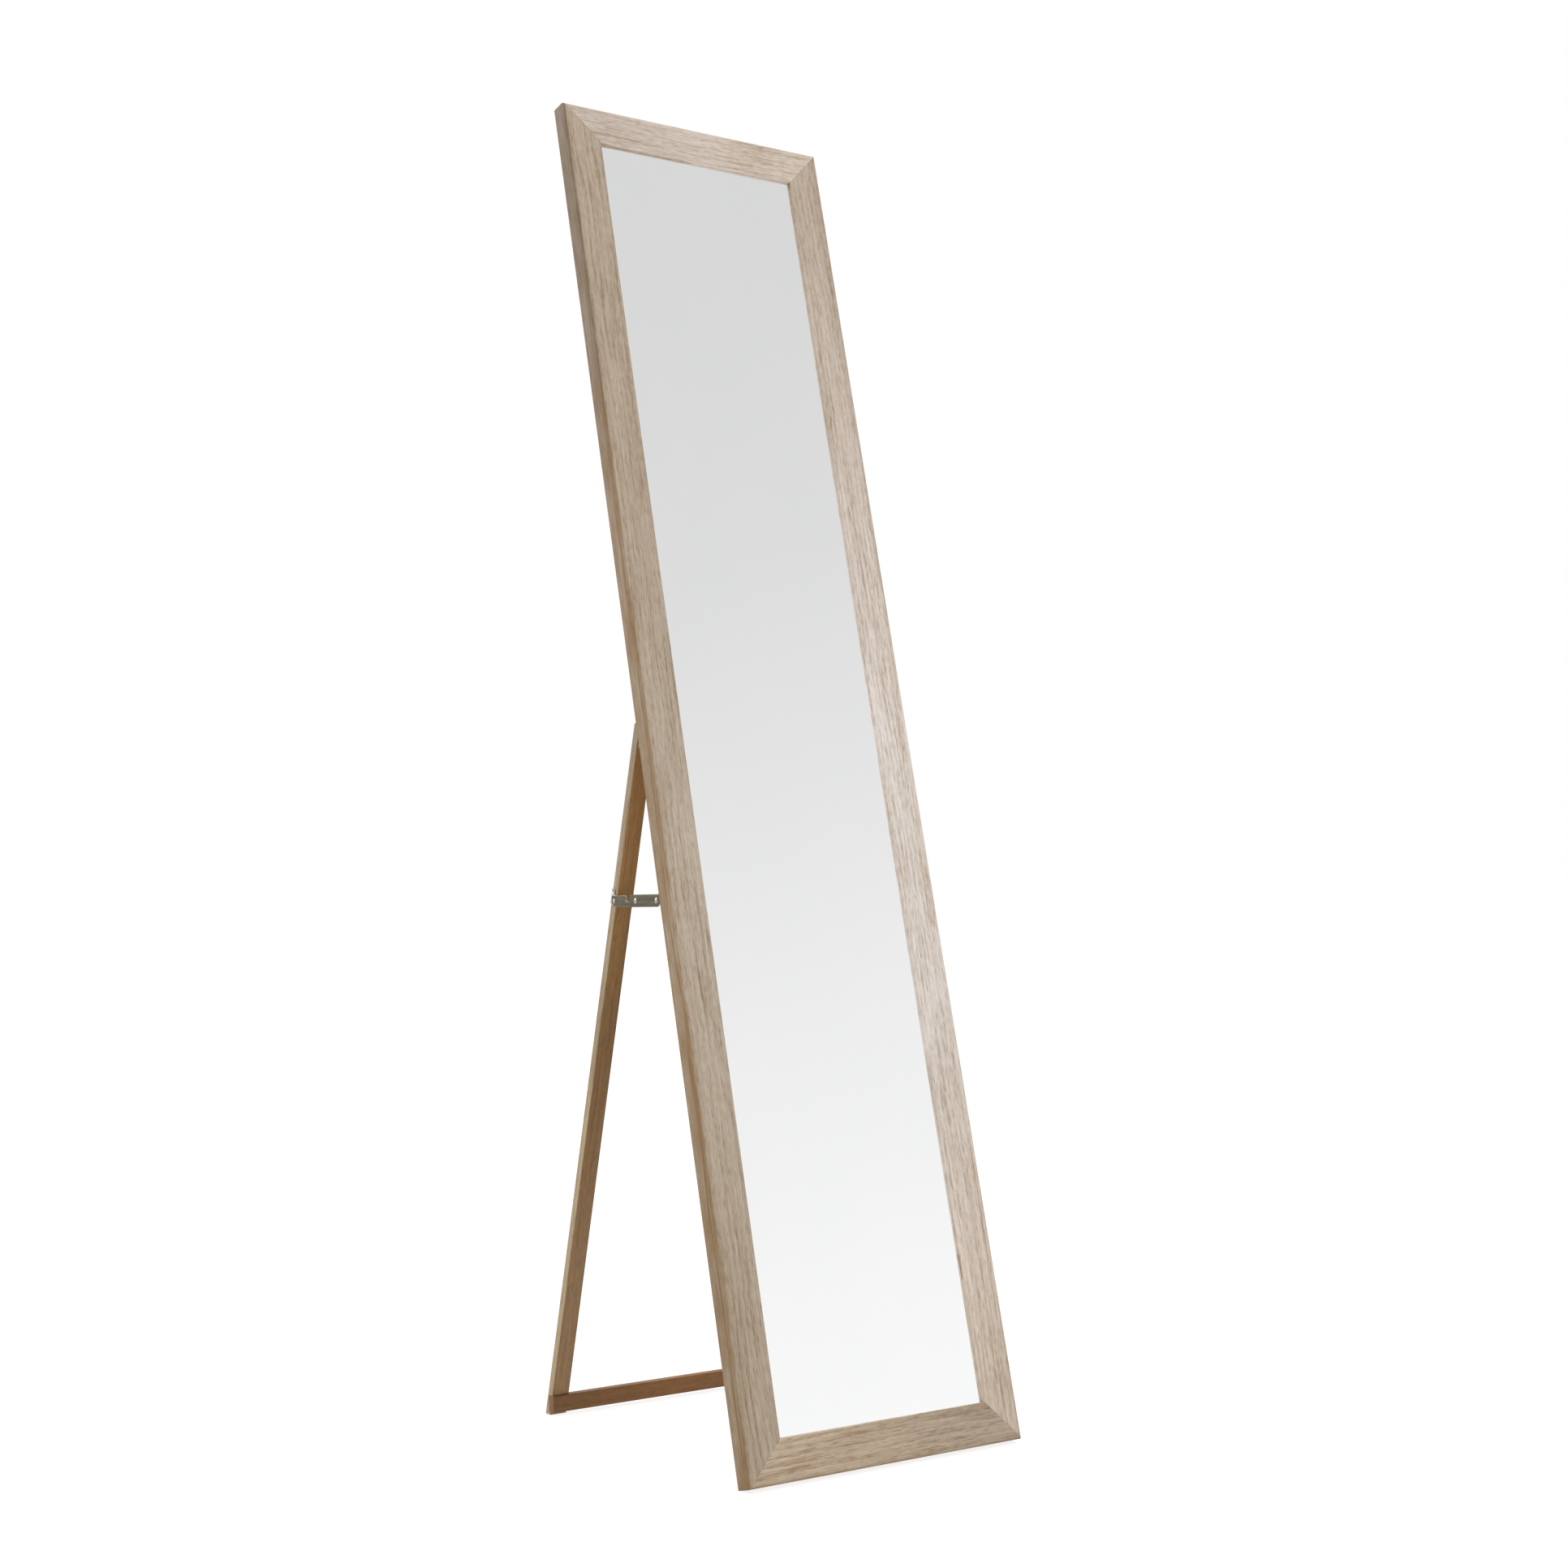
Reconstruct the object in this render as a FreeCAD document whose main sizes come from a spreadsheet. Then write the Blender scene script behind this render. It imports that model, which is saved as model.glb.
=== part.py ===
import FreeCAD, Part
import math
import os
import Sketcher

# A free-standing easel mirror: a mitred wooden frame that leans back, two rear legs hinged to the
# frame's back and joined by a low cross bar, and a folding steel stay on each side that locks the
# legs open.  Lengths are millimetres and angles degrees.
#
# World axes: +X to the right seen from the front, +Y to the rear, +Z up, the floor at Z = 0.
# The origin is on the floor, in the middle of the outline's width and depth.
#
# Two local frames carry the pieces:
#   frame axes: X across, Y to the rear with 0 on the frame's back plane, Z up along the frame,
#               with 0 at its foot; the frame stands on the rear edge of its foot
#   leg axes:   X across, Y to the rear and Z up along the leg, all from the hinge axis

DIMENSIONS = {
    # frame
    "frame_height": 1600, "frame_width": 370, "frame_depth": 23, "face_width": 46,
    "outer_radius": 5, "sight_radius": 1.5, "lip_thickness": 5, "rebate_width": 8,
    "lean_angle": 14,
    # what the rebate holds
    "glass_thickness": 3, "board_thickness": 3, "pane_play": 1,
    "point_width": 6, "point_length": 14, "point_thickness": 0.5, "point_bite": 7,
    # V nails across the mitres
    "nail_leg": 7, "nail_thickness": 0.8, "nail_depth": 10, "nail_first": 12, "nail_second": 26,
    # rear legs and their cross bar
    "leg_width": 22, "leg_thickness": 11, "leg_inset": 8, "leg_angle": 14, "leg_top": 4,
    "leg_edge_radius": 1, "bar_height": 19.5, "bar_thickness": 11, "bar_clearance": 3.5,
    "bar_proud": 2.5, "bar_edge_radius": 1,
    # butt hinges
    "hinge_height": 827.2, "hinge_offset": 4, "hinge_width": 18, "leaf_length": 22,
    "leaf_thickness": 1.5, "knuckle_radius": 3.5, "knuckle_half": 3.7, "knuckle_gap": 0.3,
    "knuckle_relief": 0.8, "pin_radius": 1.5, "running_gap": 0.05,
    "hinge_screw_across": 4.5, "hinge_screw_high": 9.5, "hinge_screw_low": 17,
    # folding stays: pivots on the frame and on the leg, and the layers from the leg outwards
    "frame_pivot_height": 630.5, "frame_pivot_offset": 9, "leg_pivot_drop": 201,
    "leg_pivot_depth": 5.2, "front_link_length": 46.07, "link_thickness": 1.2,
    "front_link_half": 7, "rear_link_half": 6.25, "front_link_nose": 5, "front_link_tail": 11.5,
    "rear_link_tail": 4.6, "chamfer_along": 7, "chamfer_up": 3.5, "link_corner_radius": 1.5,
    "link_nose_radius": 4.5, "leg_plate_thickness": 1.2, "layer_gap": 0.2, "washer_layer": 1.2,
    "washer_radius": 4, "rivet_radius": 2, "rivet_head_radius": 3.3,
    "rivet_head_top_radius": 1.8, "rivet_head_height": 1.3, "low_head_height": 0.5,
    "rivet_tail_radius": 2.8, "rivet_tail_height": 0.3,
    # the rear link's notch, along the link from the middle pivot and up from its middle line:
    # a shelf for the front link's lug, then a deeper round-bottomed slot
    "notch_start": 8, "notch_step": 15.3, "notch_end": 24, "notch_shelf": 2.6,
    "notch_floor": -0.75, "notch_radius": 3.2, "notch_lip_radius": 2, "lug_low": 2.95,
    # stay brackets
    "bracket_half": 6, "bracket_reach": 12.7, "bracket_foot": 15, "bracket_thickness": 1.2,
    "bracket_radius": 4.5, "bracket_screw_near": 5, "bracket_screw_far": 10.5,
    "bracket_screw_rise": 3, "plate_low": 5.5, "plate_high": 14, "plate_back": 14.5,
    "plate_tab_front": 9.3, "plate_tab_low": 7, "plate_front_high": 3.5, "plate_radius": 2,
    "plate_screw_depth": 11.9, "plate_screw_high": 11, "plate_screw_low": 1.8,
    # countersunk wood screws
    "screw_head_radius": 2.2, "screw_radius": 1.1, "screw_head_height": 1.1, "screw_length": 10,
    "bar_screw_length": 15,
}

doc = FreeCAD.newDocument("easel_mirror")
sheet = doc.addObject("Spreadsheet::Sheet", "Dims")
aliases = []


def write_cell(alias, amount):
    """Adds one named size to the spreadsheet."""
    aliases.append(alias)
    row = len(aliases)
    sheet.set(f"A{row}", alias)
    sheet.set(f"B{row}", str(amount))
    sheet.setAlias(f"B{row}", alias)


for alias, amount in DIMENSIONS.items():
    write_cell(alias, amount)
doc.recompute()

NODES = []


def dim(alias):
    """One driving dimension, as a number."""
    return float(sheet.get(alias))


def bound(expression):
    """An expression of aliases, with each alias pointed at the spreadsheet."""
    words = expression.replace("(", " ( ").replace(")", " ) ").split()
    return " ".join(f"Dims.{word}" if word in aliases else word for word in words)


def number(expression):
    """The present value of an expression of aliases."""
    return float(sheet.evalExpression(bound(expression)))


def node(feature, label, placement=None):
    """Marks a feature as one finished piece, which is written to a file of its own."""
    feature.Label = label
    if placement is not None:
        feature.Placement = placement
    NODES.append(feature)
    return feature


# ---------------------------------------------------------------- places worked out from the sizes

ALONG_X = FreeCAD.Vector(1, 0, 0)
ALONG_Y = FreeCAD.Vector(0, 1, 0)
NO_TURN = FreeCAD.Rotation()


def place(x=0, y=0, z=0, rotation=NO_TURN):
    return FreeCAD.Placement(FreeCAD.Vector(x, y, z), rotation)


def turned(axis, angle):
    return FreeCAD.Rotation(axis, angle)


lean = math.radians(dim("lean_angle"))
leg_slope = math.radians(dim("leg_angle"))


def hinge_axis_place():
    """Y and Z of the hinge axis, measured from the frame's resting edge."""
    return (dim("hinge_height") * math.sin(lean) + dim("hinge_offset") * math.cos(lean),
            dim("hinge_height") * math.cos(lean) - dim("hinge_offset") * math.sin(lean))


def leg_foot_z(depth):
    """Where a line of the leg at this depth behind the hinge axis meets the floor, on leg Z."""
    return -(hinge_axis_place()[1] + depth * math.sin(leg_slope)) / math.cos(leg_slope)


leg_front = dim("hinge_offset")
leg_back = leg_front + dim("leg_thickness")
hinge_y, hinge_z = hinge_axis_place()
foremost = -dim("frame_depth") * math.cos(lean)
rearmost = hinge_y + leg_back * math.cos(leg_slope) - leg_foot_z(leg_back) * math.sin(leg_slope)
resting_edge_y = -(foremost + rearmost) / 2

FRAME = place(y=resting_edge_y, rotation=turned(ALONG_X, -dim("lean_angle")))
LEGS = place(y=resting_edge_y + hinge_y, z=hinge_z, rotation=turned(ALONG_X, dim("leg_angle")))

SIDE_NAMES = {-1: "left", 1: "right"}
half_width = dim("frame_width") / 2
leg_side = half_width - dim("leg_inset")
leg_middle = leg_side - dim("leg_width") / 2

bar_top = dim("bar_clearance") + dim("bar_height")
leg_front_at_bar_top = (resting_edge_y + hinge_y + leg_front / math.cos(leg_slope)
                        + (hinge_z - bar_top) * math.tan(leg_slope))
bar_front = leg_front_at_bar_top - dim("bar_proud")
bar_screw_z = leg_foot_z(leg_back) + bar_top / 2

frame_pivot = FRAME.multVec(FreeCAD.Vector(0, dim("frame_pivot_offset"),
                                           dim("frame_pivot_height")))
leg_pivot = LEGS.multVec(FreeCAD.Vector(0, dim("leg_pivot_depth"), -dim("leg_pivot_drop")))
stay = leg_pivot - frame_pivot
stay_length = stay.Length
stay_slope = math.degrees(math.atan2(stay.z, stay.y))

# sizes that follow from the ones above
write_cell("leg_foot_front", leg_foot_z(leg_front))
write_cell("leg_foot_back", leg_foot_z(leg_back))
write_cell("rear_link_length", stay_length - dim("front_link_length"))
doc.recompute()

# layers of a stay, as distances of each piece's inner face outwards from the leg's side
layer_rear_link = dim("leg_plate_thickness") + dim("layer_gap")
layer_front_link = layer_rear_link + dim("link_thickness") + dim("washer_layer")
layer_bracket = layer_front_link + dim("link_thickness") + dim("layer_gap")

# hinge screws: across the leaf from its middle, and down from the hinge axis
HINGE_SCREWS = ((-dim("hinge_screw_across"), dim("hinge_screw_high")),
                (dim("hinge_screw_across"), dim("hinge_screw_low")))

# rows of backing points, as shares of the frame's height and width
SIDE_POINT_ROWS = (0.1, 0.3, 0.5, 0.7, 0.9)
END_POINT_ROWS = (0.3, 0.7)

# ---------------------------------------------------------------- feature helpers


def origin_plane(body, role):
    return next(plane for plane in body.Origin.OriginFeatures if plane.Role == role)


def new_sketch(body, name, role):
    sketch = body.newObject("Sketcher::SketchObject", name)
    sketch.AttachmentSupport = [(origin_plane(body, role), "")]
    sketch.MapMode = "FlatFace"
    return sketch


def hold(sketch, kind, geometry, point, expression):
    """Ties one coordinate of a sketch point to an expression of the driving dimensions."""
    amount = number(expression)
    if abs(amount) < 1e-9:
        axis = -2 if kind == "DistanceX" else -1
        sketch.addConstraint(Sketcher.Constraint("PointOnObject", geometry, point, axis))
        return
    index = sketch.addConstraint(Sketcher.Constraint(kind, -1, 1, geometry, point, amount))
    sketch.setExpression(f"Constraints[{index}]", bound(expression))


def outline(body, name, role, *loops):
    """A sketch of closed outlines, each a list of corners given as pairs of expressions."""
    sketch = new_sketch(body, name, role)
    for corners in loops:
        points = [FreeCAD.Vector(number(x), number(y), 0) for x, y in corners]
        first = sketch.GeometryCount
        count = len(points)
        for i in range(count):
            sketch.addGeometry(Part.LineSegment(points[i], points[(i + 1) % count]))
        for i in range(count):
            following = first + (i + 1) % count
            sketch.addConstraint(Sketcher.Constraint("Coincident", first + i, 2, following, 1))
        for i, (x, y) in enumerate(corners):
            hold(sketch, "DistanceX", first + i, 1, x)
            hold(sketch, "DistanceY", first + i, 1, y)
    return sketch


def rings(body, name, role, radius, *centres):
    """A sketch of circles with one radius, whose centres are pairs of expressions."""
    sketch = new_sketch(body, name, role)
    for x, y in centres:
        middle = FreeCAD.Vector(number(x), number(y), 0)
        ring = sketch.addGeometry(Part.Circle(middle, FreeCAD.Vector(0, 0, 1), number(radius)))
        hold(sketch, "DistanceX", ring, 3, x)
        hold(sketch, "DistanceY", ring, 3, y)
        index = sketch.addConstraint(Sketcher.Constraint("Radius", ring, number(radius)))
        sketch.setExpression(f"Constraints[{index}]", bound(radius))
    return sketch


def new_body(name):
    return doc.addObject("PartDesign::Body", name)


def pad(body, sketch, length, backwards=False, both_ways=False):
    feature = body.newObject("PartDesign::Pad", f"{sketch.Name}_pad")
    feature.Profile = sketch
    feature.Midplane = both_ways
    feature.Reversed = backwards
    feature.setExpression("Length", bound(length))
    doc.recompute()
    return feature


def cut_through(body, sketch):
    """Cuts the sketch's outlines right through the body, both ways from their plane."""
    before = body.Shape.Volume
    feature = body.newObject("PartDesign::Pocket", f"{sketch.Name}_pocket")
    feature.Profile = sketch
    feature.Type = "ThroughAll"
    feature.Midplane = True
    doc.recompute()
    if body.Shape.Volume >= before:
        raise RuntimeError(f"{feature.Name} removed nothing")
    return feature


def soften(body, radius, wanted):
    """Rounds the edges of the body's last feature for which wanted(edge) is true."""
    base = body.Tip
    names = [f"Edge{i}" for i, edge in enumerate(base.Shape.Edges, start=1) if wanted(edge)]
    feature = body.newObject("PartDesign::Fillet", f"{body.Name}_{radius}")
    feature.Base = (base, names)
    feature.setExpression("Radius", bound(radius))
    doc.recompute()
    return feature


def runs_along(edge, axis):
    """True for a straight edge parallel to the axis."""
    if edge.Curve.TypeId != "Part::GeomLine":
        return False
    return abs(abs(edge.tangentAt(edge.FirstParameter).dot(axis)) - 1) < 1e-6


def primitive(kind, name, sizes, placement=None):
    """A Part primitive whose sizes are expressions of the driving dimensions."""
    feature = doc.addObject(kind, name)
    for size, expression in sizes.items():
        feature.setExpression(size, bound(expression))
    if placement is not None:
        feature.Placement = placement
    return feature


def block(name, x, y, z, placement=None):
    return primitive("Part::Box", name, {"Length": x, "Width": y, "Height": z}, placement)


def rod(name, radius, length, placement=None):
    return primitive("Part::Cylinder", name, {"Radius": radius, "Height": length}, placement)


def taper(name, first, last, length, placement=None):
    sizes = {"Radius1": first, "Radius2": last, "Height": length}
    return primitive("Part::Cone", name, sizes, placement)


def joined(name, pieces):
    feature = doc.addObject("Part::MultiFuse", name)
    feature.Shapes = pieces
    feature.Refine = True
    return feature


def difference(name, base, tool):
    feature = doc.addObject("Part::Cut", name)
    feature.Base = base
    feature.Tool = tool
    return feature


def gathered(name, pieces):
    """Identical fasteners kept as separate solids in one piece group."""
    feature = doc.addObject("Part::Compound", name)
    feature.Links = pieces
    return feature


# ---------------------------------------------------------------- frame


def moulding(label, length, placement):
    """One mitred member: its outer edge on X = 0, its back on Y = 0 and its length along Z."""
    body = new_body(label)
    profile = outline(body, f"{label}_profile", "XY_Plane", [
        ("0", "0"), ("face_width - rebate_width", "0"),
        ("face_width - rebate_width", "lip_thickness - frame_depth"),
        ("face_width", "lip_thickness - frame_depth"),
        ("face_width", "0 - frame_depth"), ("0", "0 - frame_depth")])
    pad(body, profile, length)
    front = -dim("frame_depth")

    def front_edge_at(x):
        def wanted(edge):
            middle = edge.CenterOfMass
            return (runs_along(edge, FreeCAD.Vector(0, 0, 1)) and abs(middle.y - front) < 1e-6
                    and abs(middle.x - x) < 1e-6)
        return wanted

    soften(body, "outer_radius", front_edge_at(0))
    soften(body, "sight_radius", front_edge_at(dim("face_width")))
    mitres = outline(
        body, f"{label}_mitres", "XZ_Plane",
        [("0 - 1", "0 - 1"), ("face_width + 1", "0 - 1"), ("face_width + 1", "face_width + 1")],
        [("0 - 1", f"{length} + 1"), ("face_width + 1", f"{length} - face_width - 1"),
         ("face_width + 1", f"{length} + 1")])
    cut_through(body, mitres)
    return node(body, label, FRAME * placement)


def frame_members():
    height = dim("frame_height")
    moulding("left_stile", "frame_height", place(-half_width))
    moulding("right_stile", "frame_height", place(half_width, 0, height, turned(ALONG_Y, 180)))
    moulding("top_rail", "frame_width", place(-half_width, 0, height, turned(ALONG_Y, 90)))
    moulding("bottom_rail", "frame_width", place(half_width, 0, 0, turned(ALONG_Y, -90)))


def pane(label, thickness, front):
    """A sheet that fills the rebate, with a little play all round."""
    border = dim("face_width") - dim("rebate_width") + dim("pane_play")
    margin = "2 * ( face_width - rebate_width + pane_play )"
    sheet_block = block(label, f"frame_width - {margin}", thickness, f"frame_height - {margin}")
    return node(sheet_block, label, FRAME * place(border - half_width, front, border))


def panes():
    glass_front = dim("lip_thickness") - dim("frame_depth")
    pane("mirror_glass", "glass_thickness", glass_front)
    pane("backing_board", "board_thickness", glass_front + dim("glass_thickness"))


def backing_points():
    """Flat steel points driven into the rebate wall, lying on the back of the board."""
    half_point = dim("point_width") / 2
    board_back = (dim("lip_thickness") - dim("frame_depth") + dim("glass_thickness")
                  + dim("board_thickness"))
    start = dim("face_width") - dim("rebate_width") - dim("point_bite")
    reach = start + dim("point_length")
    points = []
    for i, share in enumerate(SIDE_POINT_ROWS):
        z = share * dim("frame_height") - half_point
        for side, x in (("left", start - half_width), ("right", half_width - reach)):
            points.append(block(f"{side}_point_{i}", "point_length", "point_thickness",
                                "point_width", place(x, board_back, z)))
    for i, share in enumerate(END_POINT_ROWS):
        x = (share - 0.5) * dim("frame_width") - half_point
        for end, z in (("low", start), ("high", dim("frame_height") - reach)):
            points.append(block(f"{end}_point_{i}", "point_width", "point_thickness",
                                "point_length", place(x, board_back, z)))
    node(gathered("backing_points", points), "backing_points", FRAME)


def corner_nails():
    """V-shaped nails pressed into the back across each mitre, two to a corner."""
    corners = ((-1, False, 0), (1, False, -90), (1, True, 180), (-1, True, 90))
    nails = []
    for corner, (side, high, turn) in enumerate(corners):
        for i, step in enumerate((dim("nail_first"), dim("nail_second"))):
            name = f"nail_{corner}_{i}"
            across = block(f"{name}_across", "nail_leg", "nail_depth", "nail_thickness")
            upright = block(f"{name}_upright", "nail_thickness", "nail_depth", "nail_leg")
            nail = joined(name, [across, upright])
            z = dim("frame_height") - step if high else step
            nail.Placement = place(side * (half_width - step), -dim("nail_depth"), z,
                                   turned(ALONG_Y, turn))
            nails.append(nail)
    node(gathered("corner_v_nails", nails), "corner_v_nails", FRAME)


# ---------------------------------------------------------------- screws

INTO_FRONT = turned(ALONG_X, 90)
INTO_REAR = turned(ALONG_X, -90)


def inward(side):
    """Turns a piece's Z axis to point from that side of the mirror towards its middle."""
    return turned(ALONG_Y, -90 * side)


def outward(side):
    return turned(ALONG_Y, 90 * side)


def screw(name, placement, length="screw_length"):
    """A countersunk screw that starts at the origin and goes in along Z."""
    head = taper(f"{name}_head", "screw_head_radius", "screw_radius", "screw_head_height")
    shank = rod(f"{name}_shank", "screw_radius", f"{length} - screw_head_height",
                place(z=dim("screw_head_height")))
    body = joined(name, [head, shank])
    body.Placement = placement
    return body


def drilled(label, plate, places):
    """A plate with a countersunk screw hole at each of the places."""
    holes = [screw(f"{label}_hole_{i}", spot) for i, spot in enumerate(places)]
    return difference(label, plate, joined(f"{label}_holes", holes))


# ---------------------------------------------------------------- rear legs


def leg(side):
    """One rear leg, its foot cut level with the floor, notched in front for the cross bar."""
    name = SIDE_NAMES[side]
    body = new_body(f"{name}_leg_stock")
    blank = outline(body, f"{name}_leg_outline", "YZ_Plane", [
        ("hinge_offset", "leg_top"), ("hinge_offset + leg_thickness", "leg_top"),
        ("hinge_offset + leg_thickness", "leg_foot_back"), ("hinge_offset", "leg_foot_front")])
    pad(body, blank, "leg_width", both_ways=True)
    soften(body, "leg_edge_radius", lambda edge: runs_along(edge, FreeCAD.Vector(0, 0, 1)))
    body.Placement = LEGS * place(side * leg_middle)
    lap = block(f"{name}_lap", "leg_width", "bar_thickness", "bar_height",
                place(side * leg_middle - dim("leg_width") / 2, bar_front, dim("bar_clearance")))
    node(difference(f"{name}_leg", body, lap), f"{name}_leg")


def cross_bar():
    body = new_body("leg_cross_bar")
    section = outline(body, "bar_section", "YZ_Plane", [
        ("0", "0"), ("bar_thickness", "0"), ("bar_thickness", "bar_height"), ("0", "bar_height")])
    pad(body, section, "frame_width - 2 * leg_inset", both_ways=True)

    def front_edges(edge):
        return runs_along(edge, ALONG_X) and abs(edge.CenterOfMass.y) < 1e-6

    soften(body, "bar_edge_radius", front_edges)
    node(body, "leg_cross_bar", place(0, bar_front, dim("bar_clearance")))


def cross_bar_screws():
    """One screw in each leg, from behind, into the bar."""
    screws = []
    for side, name in SIDE_NAMES.items():
        spot = LEGS * place(side * leg_middle, leg_back, bar_screw_z, INTO_FRONT)
        screws.append(screw(f"{name}_bar_screw", spot, "bar_screw_length"))
    node(gathered("cross_bar_screws", screws), "cross_bar_screws")


# ---------------------------------------------------------------- butt hinges


def hinge_frame_leaf(side):
    """The leaf on the frame's back, with the two outer knuckles, the pin tight in both."""
    name = SIDE_NAMES[side]
    label = f"{name}_hinge_frame_leaf"
    start = side * leg_middle - dim("hinge_width") / 2
    axis_z = dim("hinge_height")
    plate = block(f"{label}_plate", "hinge_width", "leaf_thickness", "leaf_length",
                  place(start, 0, axis_z - dim("leaf_length")))
    barrel = rod(f"{label}_barrel", "knuckle_radius", "hinge_width",
                 place(start, dim("hinge_offset"), axis_z, outward(1)))
    reach = dim("knuckle_radius") + dim("knuckle_relief")
    half_gap = dim("knuckle_half") + dim("knuckle_gap")
    gap = block(f"{label}_gap", "2 * ( knuckle_half + knuckle_gap )",
                "hinge_offset + knuckle_radius + 1", "2 * ( knuckle_radius + knuckle_relief )",
                place(side * leg_middle - half_gap, 0, axis_z - reach))
    bore = rod(f"{label}_bore", "pin_radius", "hinge_width",
               place(start, dim("hinge_offset"), axis_z, outward(1)))
    blank = difference(f"{label}_blank", joined(f"{label}_stock", [plate, barrel]),
                       joined(f"{label}_openings", [gap, bore]))
    leaf = drilled(label, blank, frame_leaf_screws(side))
    node(leaf, label, FRAME)


def frame_leaf_screws(side):
    return [place(side * leg_middle + across, dim("leaf_thickness"), dim("hinge_height") - drop,
                  INTO_FRONT) for across, drop in HINGE_SCREWS]


def hinge_leg_leaf(side):
    """The leaf on the leg's front, with the middle knuckle, which turns on the pin."""
    name = SIDE_NAMES[side]
    label = f"{name}_hinge_leg_leaf"
    middle = side * leg_middle
    front = dim("hinge_offset") - dim("leaf_thickness")
    relief = dim("knuckle_radius") + dim("knuckle_relief")
    plate = block(f"{label}_plate", "hinge_width", "leaf_thickness",
                  "leaf_length - knuckle_radius - knuckle_relief",
                  place(middle - dim("hinge_width") / 2, front, -dim("leaf_length")))
    tab = block(f"{label}_tab", "2 * knuckle_half", "leaf_thickness",
                "knuckle_radius + knuckle_relief",
                place(middle - dim("knuckle_half"), front, -relief))
    knuckle = rod(f"{label}_knuckle", "knuckle_radius", "2 * knuckle_half",
                  place(middle - dim("knuckle_half"), 0, 0, outward(1)))
    bore = rod(f"{label}_bore", "pin_radius + running_gap", "2 * knuckle_half",
               place(middle - dim("knuckle_half"), 0, 0, outward(1)))
    blank = difference(f"{label}_blank", joined(f"{label}_stock", [plate, tab, knuckle]), bore)
    leaf = drilled(label, blank, leg_leaf_screws(side))
    node(leaf, label, LEGS)


def leg_leaf_screws(side):
    front = dim("hinge_offset") - dim("leaf_thickness")
    return [place(side * leg_middle + across, front, -drop, INTO_REAR)
            for across, drop in HINGE_SCREWS]


def hinge_pin(side):
    name = SIDE_NAMES[side]
    start = side * leg_middle - dim("hinge_width") / 2
    pin = rod(f"{name}_hinge_pin", "pin_radius", "hinge_width")
    node(pin, f"{name}_hinge_pin",
         FRAME * place(start, dim("hinge_offset"), dim("hinge_height"), outward(1)))


def hinge_screws():
    """The screws of both hinges: those in the frame and those in the legs."""
    for label, carrier, spots in (("hinge_frame_screws", FRAME, frame_leaf_screws),
                                  ("hinge_leg_screws", LEGS, leg_leaf_screws)):
        screws = [screw(f"{label}_{SIDE_NAMES[side]}_{i}", spot)
                  for side in SIDE_NAMES for i, spot in enumerate(spots(side))]
        node(gathered(label, screws), label, carrier)


# ---------------------------------------------------------------- folding stays


def stay_place(side, layer):
    """Where a link starts: at its frame pivot, with Y along the stay, on the given layer."""
    return place(side * (leg_side + layer), frame_pivot.y, frame_pivot.z,
                 turned(ALONG_X, stay_slope))


def link_plate(body, corners, side):
    """A flat link that is as thick as the sheet says, its inner face on X = 0."""
    sketch = outline(body, f"{body.Name}_outline", "YZ_Plane", corners)
    pad(body, sketch, "link_thickness", backwards=side < 0)


def pivot_holes(body, radius, *centres):
    cut_through(body, rings(body, f"{body.Name}_pivot", "YZ_Plane", radius, *centres))


def link_corners(half, *along):
    """Picks the short edges through a plate at these places, above and below its middle line."""
    def wanted(edge):
        middle = edge.CenterOfMass
        return (runs_along(edge, ALONG_X) and abs(abs(middle.z) - half) < 1e-4
                and any(abs(middle.y - y) < 1e-4 for y in along))
    return wanted


def front_link(side):
    """The link on the frame's side, whose bent lug drops into the rear link's notch."""
    label = f"{SIDE_NAMES[side]}_front_link"
    body = new_body(label)
    end = "front_link_length + front_link_tail"
    link_plate(body, [("0 - front_link_nose", "0 - front_link_half"),
                      (end, "0 - front_link_half"), (end, "front_link_half"),
                      ("0 - front_link_nose", "front_link_half")], side)
    half = dim("front_link_half")
    soften(body, "link_nose_radius", link_corners(half, -dim("front_link_nose")))
    soften(body, "link_corner_radius", link_corners(half, number(end)))
    lug_top = "front_link_half - link_corner_radius"
    lug = outline(body, f"{label}_lug", "YZ_Plane", [
        (f"{end} - link_thickness", "lug_low"), (end, "lug_low"), (end, lug_top),
        (f"{end} - link_thickness", lug_top)])
    pad(body, lug, "link_thickness + washer_layer", backwards=side > 0)
    pivot_holes(body, "rivet_radius + running_gap", ("0", "0"))
    pivot_holes(body, "rivet_radius", ("front_link_length", "0"))
    node(body, label, stay_place(side, layer_front_link))


def rear_link(side):
    """The link on the leg's side, with the notch that takes the front link's lug."""
    label = f"{SIDE_NAMES[side]}_rear_link"
    body = new_body(label)
    start = "front_link_length - rear_link_half"
    end = "front_link_length + rear_link_length + rear_link_tail"
    low = "0 - rear_link_half"
    high = "rear_link_half"
    notch_start = "front_link_length + notch_start"
    notch_step = "front_link_length + notch_step"
    notch_end = "front_link_length + notch_end"
    link_plate(body, [
        (start, low), (f"{end} - chamfer_along", low), (end, f"{low} + chamfer_up"),
        (end, high), (notch_end, high), (notch_end, "notch_floor"),
        (notch_step, "notch_floor"), (notch_step, "notch_shelf"), (notch_start, "notch_shelf"),
        (notch_start, high), (start, high)], side)
    half = dim("rear_link_half")
    soften(body, "notch_radius",
           link_corners(-dim("notch_floor"), number(notch_end), number(notch_step)))
    soften(body, "notch_lip_radius", link_corners(half, number(notch_end)))
    soften(body, "link_nose_radius", link_corners(half, number(start)))
    pivot_holes(body, "rivet_radius + running_gap", ("front_link_length", "0"))
    pivot_holes(body, "rivet_radius", ("front_link_length + rear_link_length", "0"))
    node(body, label, stay_place(side, layer_rear_link))


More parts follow.
